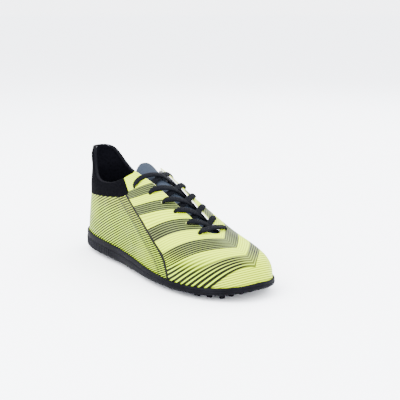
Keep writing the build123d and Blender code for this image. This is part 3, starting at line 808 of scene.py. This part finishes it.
for side_name, route in TAIL_ROUTES.items():
    line = route_line("route_" + side_name, route)
    points = line / MM
    flat = np.tile([0.0, 0.0, 1.0], (len(points), 1))
    tangents = unit(np.gradient(points, axis=0))
    steep = np.abs(tangents[:, 2:])
    sides = np.cross(tangents, flat) * (1 - steep) + np.array([1.0, 0, 0]) * steep
    grow = ease(0, 12, np.append(0, np.cumsum(np.linalg.norm(np.diff(points, axis=0), axis=1))))
    tip = ease(0, 10, np.arange(len(points))[::-1] * TAIL_STEP)
    narrow, thick = TAIL_AT_EYELET
    widths = (narrow + (TAIL_WIDTH - narrow) * grow) * tip + TAIL_IN_AGLET * (1 - tip)
    thicks = thick + (TAIL_THICK - thick) * grow * tip
    tail = ribbon("lace_end_" + side_name, points, sides, widths, thicks)
    dress(tail, "lace_cord", "shoe", "lace_tail_" + side_name)

# ------------------------------------------------------------------ the laced part of the lace
OVER_EDGE = 2.4
INSIDE_DEPTH = 4.65
CROSS_LOW = 4.0
CROSS_HIGH = 7.4
LACE_AT_EYELET = (4.2, 2.1)
LACE_OPEN = (6.8, 2.6)
LACE_TURN = 0.5


def beside_throat(x, side, setback, height):
    y = float(centre_at(x)) + side * (float(throat_half(x)) + setback)
    return surface_point(x, y, 0) + surface_normal(x, y) * height


def crossing(row, high):
    x = (EYELET_X[row] + EYELET_X[row + 1]) / 2
    depth = float(np.interp(x, TONGUE_X, TONGUE_DEPTH))
    place = surface_point(x, float(centre_at(x)), depth)
    place[2] += CROSS_HIGH if high else CROSS_LOW
    return place


def strand(side):
    """One half of the lace, from over the first eyelet up to inside the last."""
    points = []
    for row, here in enumerate(EYELET_X):
        place, outward = next((p, n) for x, k, p, n in eyelet_places if (x, k) == (here, side))
        points += [place + outward * OVER_EDGE, place - outward * INSIDE_DEPTH]
        if row + 1 < len(EYELET_X):
            there = EYELET_X[row + 1]
            points.append(beside_throat(here + 0.35 * (there - here), side, -1.5, -INSIDE_DEPTH))
            points.append(crossing(row, side > 0))
            side = -side
            points.append(beside_throat(here + 0.8 * (there - here), side, 1.0, OVER_EDGE))
    return points + [beside_throat(EYELET_X[-1] - 1.5, side, EYELET_SETBACK + 4.5, -INSIDE_DEPTH - 0.3)]


bar = [beside_throat(EYELET_X[0] + 0.5, side, 1.0, OVER_EDGE) for side in (-1, 1)]
bar_top = (bar[0] + bar[1]) / 2 + np.array([0.8, 0, 1.6])
lace_route = np.array(strand(-1)[::-1] + [bar[0], bar_top, bar[1]] + strand(1)) * MM
lace_line = route_line("route_lace", lace_route.tolist()) / MM
lace_run = unit(np.gradient(lace_line, axis=0))
across = np.cross(lace_run, surface_normal(lace_line[:, 0], lace_line[:, 1]))
flatness = np.linalg.norm(across, axis=1)
lace_sides = [unit(across[0])]
for direction, wanted, weight in zip(lace_run[1:], unit(across[1:]), flatness[1:]):
    held = lace_sides[-1] - direction * (lace_sides[-1] @ direction)
    wanted = wanted * (1 if held @ wanted >= 0 else -1)
    turn = LACE_TURN * weight**2
    lace_sides.append(unit(unit(held) * (1 - turn) + wanted * turn))
to_eyelet = np.min([np.linalg.norm(lace_line - place, axis=1) for _, _, place, _ in eyelet_places],
                   axis=0)
open_out = ease(1.5, 5.5, to_eyelet)
lace_widths, lace_thicks = (tight + (flat - tight) * open_out
                            for tight, flat in zip(LACE_AT_EYELET, LACE_OPEN))
lace = ribbon("flat_lace", lace_line, np.array(lace_sides), lace_widths, lace_thicks)
dress(lace, "lace_cord", "shoe", "lace")

# ------------------------------------------------------------------ upper, linings and collar
dress(upper, "upper_print", "shoe", "upper")

COUNTER_FRONT = -68.0
COUNTER_SLANT = 12.0
COUNTER_TOP = 66.0
BACKING_X = (-27, 76)
BACKING_WIDTH = 15.0
BACKING_SHOW = 1.2
PUFF_HIGH = 1.1
COLLAR_FROM = -22
HEEL_X = -143


def collar_puff(p):
    return PUFF_HIGH * ease(0, 11, in_collar(p)) * ease(0, 9, -over_topline(p))


def lining_field(p):
    return np.maximum(over_topline(p), -in_collar(p))


def stay_field(side):
    """The eyestay's backing on one side, which stands a little into the throat."""
    def field(p):
        x, y = p[..., 0], p[..., 1] - centre_at(p[..., 0])
        wide = np.abs(y) - throat_half(x) - BACKING_WIDTH
        ends = np.maximum(BACKING_X[0] - x, x - BACKING_X[1])
        return np.maximum.reduce([in_throat(p) - BACKING_SHOW, wide, ends, -side * y, over_topline(p),
                                  in_eyelet(p)])
    return field


for side_name, side in (("lateral", LATERAL), ("medial", MEDIAL)):
    stay = shell("stay_" + side_name, 1.35, 2.2, stay_field(side), x_range=(-32, 80))
    dress(stay, "backing_white", "shoe", "eyestay_backing_" + side_name)


def counter_field(p):
    slanted = p[..., 0] - COUNTER_FRONT + COUNTER_SLANT * p[..., 2] / COUNTER_TOP
    return np.maximum(p[..., 2] - COUNTER_TOP, slanted)


counter = shell("heel_stiffener", 1.4, 2.2, counter_field, x_range=(HEEL_X, -60), spacing=2.0)
dress(counter, "stiff_plastic", "shoe", "heel_counter")

collar = shell("collar_skin", -0.5, 1.3, collar_field, x_range=(HEEL_X, COLLAR_FROM), puff=collar_puff)
dress(collar, "collar_knit", "shoe", "collar")

lining = shell("lining_knit", 2.3, 3.0, upper_field, spacing=2.0)
dress(lining, "lining_white", "shoe", "upper_lining")

collar_inside = shell("collar_lining_pad", 4.4, 5.4, lining_field, x_range=(HEEL_X, COLLAR_FROM))
dress(collar_inside, "collar_inside", "shoe", "collar_lining")


def topline_path(inset, shift, count=90, front_x=-44.5):
    """Points along the rim of the collar at a depth, from the lateral front round the heel."""
    half = []
    for s in np.linspace(float(station_at(front_x)), 0, count):
        x = float(footprint(s, inset)[0])
        for _ in range(12):
            z = float(along(TOPLINE, x)) + shift
            x = float(footprint(s, inset)[0] + lean(footprint(s, inset)[0], z))
        half.append((s, z))
    lateral = [level_point(s, -1, inset, z) for s, z in half]
    medial = [level_point(s, 1, inset, z) for s, z in half[-2::-1]]
    return np.array(lateral + medial)


def rim_tube(name, inset, shift, outline):
    path = topline_path(inset, shift)
    wide = topline_path(inset - 1, shift) - path
    direction = unit(np.gradient(path, axis=0))
    sides = unit(wide - (wide * direction).sum(-1, keepdims=True) * direction)
    return make_object(name, *sweep(path, sides, np.cross(sides, direction), outline), weld=0)


rim = rim_tube("collar_rim", 2.45, -1.5, oval(4.6, 4.4, 24, 2.2))
dress(rim, "collar_rim", "shoe", "collar_binding")
for number, shift in enumerate((-5.6, -7.2)):
    dress(rim_tube(f"rim_stitch_{number}", -0.75, shift, oval(0.55, 0.8, 8)), "collar_rim", "shoe")

# ------------------------------------------------------------------ tongue
TONGUE_THICK = 4.9
TONGUE_ROUND = 13.0
TONGUE_TOP = -39.0


def tongue_half(name, upper_side):
    """The cover or the lining: half of one flat pillow with round edges."""
    xs = np.append(np.linspace(0, 1, 26) ** 2 * 17 + TONGUE_TOP, np.linspace(-21, TONGUE_X[-1], 90))
    vs = np.sin(np.linspace(-1, 1, 41) * math.pi / 2)
    x, v = np.meshgrid(xs, vs, indexing="ij")
    end = np.clip((TONGUE_TOP + TONGUE_ROUND - x) / TONGUE_ROUND, 0, 1)
    half = smooth(TONGUE_HALF, x, TONGUE_X) + 3.0 * ease(-24, -38, x)
    half = half * np.sqrt(np.clip(1 - end**2.2, 0, 1))
    y = centre_at(x) + v * half
    swell = np.sqrt(np.clip(1 - np.abs(v) ** 4, 0, 1)) * np.sqrt(np.clip(1 - end**6, 0, 1))
    puff = 1.2 * ease(-8, -26, x) * (1 - v**2) * (1 - end**2)
    middle = smooth(TONGUE_DEPTH, x, TONGUE_X) + TONGUE_THICK / 2
    face = middle - (TONGUE_THICK / 2 * swell + puff) * (1 if upper_side else -1)
    seat = middle - 0.05 * (1 if upper_side else -1)
    return closed_sheet(name, surface_point(x, y, face), surface_point(x, y, seat))


cover = tongue_half("tongue_cover", True)
dress(cover, "tongue_face", "tongue", "tongue_outer", "tongue_foam")
back = tongue_half("tongue_back", False)
dress(back, "tongue_inside", "tongue", "tongue_lining")

# ------------------------------------------------------------------ outsole
SOLE_FLOOR = 2.0
NUB_HEIGHT = 4.5
NUB_PITCH = (12.2, 11.6)
NUB_SIDES = 20
NUB_SETBACK = 5.0
NUB_REACH = 3.9
RIB_PITCH = 4.2
RIB_DEPTH = 0.30
GROOVE_SHARE = 0.62
NUB_PROFILE = [(3.35, 5.3), (3.2, 3.6), (3.0, 1.5), (2.8, 0.6), (2.45, 0.15), (1.9, 0.0), (1.25, 0.05),
               (0.8, 0.45), (0.3, 0.6), (0.02, 0.62)]


def sole_sections(stations):
    """One closed loop of the cup's wall, floor and underside for each station."""
    s = stations[:, None]
    feather, under = smooth(FEATHER_Z, s), smooth(UNDERSIDE_Z, s)
    high = feather - under
    groove = under + high * GROOVE_SHARE
    rib = ease(-30, -60, -HALF_LENGTH * np.cos(s)) * RIB_DEPTH
    wall_run = np.cumsum(np.append(0, np.hypot(np.diff(-HALF_LENGTH * np.cos(stations)),
                                               np.diff(smooth(HALF_WIDTH, stations)))))[:, None]
    teeth = rib * ease(-0.3, 0.3, np.sin(wall_run * 2 * math.pi / RIB_PITCH))
    profile = [(0.5, under + SOLE_FLOOR), (0.5, feather - 1.5), (0.55, feather - 0.5),
               (0.85, feather + 0.05), (1.3, feather + 0.2), (1.8, feather), (2.2, feather - 0.5),
               (2.4, feather - 1.2), (2.5, groove + 1.3), (2.45, groove + 0.8), (2.15, groove + 0.45),
               (2.0, groove), (2.15, groove - 0.45), (2.55 + teeth, groove - 0.8), (2.7 + teeth, groove - 1.6),
               (2.6 + teeth, under + 3.2), (2.35 + teeth, under + 2.0), (1.9, under + 1.1),
               (1.1, under + 0.45), (0.1, under + 0.1), (-1.2, under)]
    columns = []
    for side in (LATERAL, MEDIAL):
        wall = []
        for offset, z in profile:
            inset = -np.broadcast_to(offset, s.shape)
            x, w = footprint(s, inset)
            y = smooth(CENTRE_Y, s) + side * w
            wall.append(np.concatenate([x, y, np.broadcast_to(z, s.shape)], -1))
        columns.append(wall)
    lateral, medial = columns
    floor_under = [lateral[-1] + (medial[-1] - lateral[-1]) * t for t in np.linspace(0, 1, 26)[1:-1]]
    floor_in = [medial[0] + (lateral[0] - medial[0]) * t for t in np.linspace(0, 1, 10)[1:-1]]
    return np.stack(lateral + floor_under + medial[::-1] + floor_in, 1)


sections = sole_sections(np.linspace(0, math.pi, 620))
sole_points = [sections.reshape(-1, 3)]
sole_faces = [list(f) for f in grid_faces(*sections.shape[:2], closed_columns=True)]
turn = np.arange(NUB_SIDES) * 2 * math.pi / NUB_SIDES
start = len(sole_points[0])
for column in range(-10, 11):
    for row in range(-5, 6):
        x, y = column * NUB_PITCH[0], (row + 0.5 * (column % 2)) * NUB_PITCH[1]
        reach = float(footprint(station_at(x), NUB_SETBACK)[1]) - NUB_REACH
        if abs(y - float(centre_at(x))) < reach:
            low = max(float(smooth(UNDERSIDE_Z, station_at(x))) - NUB_HEIGHT, 0)
            rings = [np.stack([x + r * np.cos(turn), y + r * np.sin(turn), np.full(NUB_SIDES, low + z)], -1)
                     for r, z in NUB_PROFILE]
            sole_points.append(np.concatenate(rings))
            sole_faces += [list(f) for f in grid_faces(len(rings), NUB_SIDES, start, closed_columns=True)]
            sole_faces.append([start + k for k in range(NUB_SIDES)][::-1])
            sole_faces.append([start + (len(rings) - 1) * NUB_SIDES + k for k in range(NUB_SIDES)])
            start += len(rings) * NUB_SIDES
sole = make_object("turf_outsole", np.concatenate(sole_points), sole_faces)
dress(sole, "sole_rubber", "shoe", "outsole")

# ------------------------------------------------------------------ sockliner cover
SOCK_INSET = 3.4
SOCK_RAISE = 5.25
SOCK_THIN = 0.2
SOCK_CROWN = 0.5


def sock_sheet():
    """The insole's top cloth: a thin sheet with a soft round edge."""
    stations = np.linspace(0.02, math.pi - 0.02, 130)
    s, v = np.meshgrid(stations, np.sin(np.linspace(-1, 1, 31) * math.pi / 2), indexing="ij")
    x, w = footprint(s, SOCK_INSET)
    y = smooth(CENTRE_Y, s) + v * w
    low = smooth(FEATHER_Z, s) - BOARD_DROP + SOCK_RAISE
    top = low + SOCK_THIN + SOCK_CROWN * np.sqrt(np.clip(1 - np.abs(v) ** 8, 0, 1))
    return closed_sheet("sock_top", np.stack([x, y, top], -1), np.stack([x, y, low], -1))


dress(sock_sheet(), "sock_fabric", "shoe", "sockliner_cover")

# ------------------------------------------------------------------ stage and light
FLOOR_HALF = 9e4
FLOOR_PALE = (0.96, 0.97, 0.99)
WORLD_PALE = (0.93, 0.95, 1.0, 1)
WORLD_STRENGTH = 5.2
LIGHT_SIZE = 1.6
LIGHTS = {"key": ((-0.2, -1.1, 1.7), 110), "fill": ((1.6, 0.1, 1.1), 36), "back": ((-0.6, 1.4, 1.5), 50)}

floor_corners = [(x * FLOOR_HALF, y * FLOOR_HALF, 0) for x, y in ((-1, -1), (1, -1), (1, 1), (-1, 1))]
floor = make_object("floor", floor_corners, [[0, 1, 2, 3]])
floor.data.materials.append(Nodes("floor").finish(FLOOR_PALE, 0.9, Specular_IOR_Level=0.1))


def area_light(name, place, power):
    light = bpy.data.objects.new(name, bpy.data.lights.new(name, "AREA"))
    light.data.energy = power
    light.data.size = LIGHT_SIZE
    light.location = place
    light.rotation_euler = (CAMERA_TARGET - light.location).to_track_quat("-Z", "Y").to_euler()
    bpy.context.scene.collection.objects.link(light)


for light_name, (place, power) in LIGHTS.items():
    area_light(light_name, place, power)
world = bpy.data.worlds.new("pale")
world.use_nodes = True
world.node_tree.nodes["Background"].inputs[0].default_value = WORLD_PALE
world.node_tree.nodes["Background"].inputs[1].default_value = WORLD_STRENGTH
bpy.context.scene.world = world
